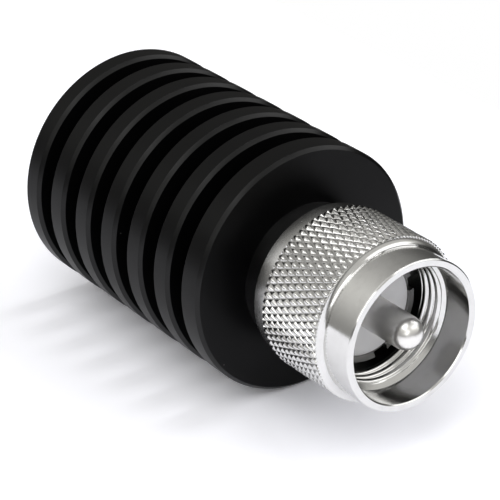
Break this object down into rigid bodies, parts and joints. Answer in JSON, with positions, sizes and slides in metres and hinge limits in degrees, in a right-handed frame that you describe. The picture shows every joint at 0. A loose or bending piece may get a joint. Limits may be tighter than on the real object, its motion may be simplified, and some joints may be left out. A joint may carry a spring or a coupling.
{
  "type": "rf dummy load",
  "caption": "RF dummy load: a black finned cylindrical heat sink that carries a UHF plug with a knurled coupling nut and a round-nosed centre pin.",
  "frame": {"origin": "centre of the heat sink's rear face, on which it stands", "axes": "+Z along the axis of every turned piece, from the rear face to the plug; the picture looks down on it from the +X side"},
  "size_m": [0.03, 0.03, 0.0565],
  "materials": {
    "black_anodised": "satin black anodised",
    "nickel": "bright nickel plate",
    "ptfe": "pale, waxy",
    "contact_nickel": "satin plate with a polished nose",
    "resistor_film": "thick film on a ceramic rod",
    "tinned": "tinned",
    "white_ceramic": "unglazed",
    "spring_steel": "stamped disc springs"
  },
  "bodies": {
    "load": {"heat_sink": "black_anodised", "connector_body": "nickel", "front_insulator": "ptfe", "centre_pin": "contact_nickel", "rear_insulator": "ptfe", "resistor_rod": "resistor_film", "front_end_cap": "tinned", "rear_end_cap": "tinned", "ceramic_sleeve": "white_ceramic", "ground_spring": "spring_steel"},
    "nut": {"coupling_nut": "nickel"}
  },
  "joints": [
    {"name": "nut_turn", "type": "hinge", "parent": "load", "child": "nut", "pos_m": [0, 0, 0.0476], "axis": [0, 0, 1], "continuous": true}
  ]
}
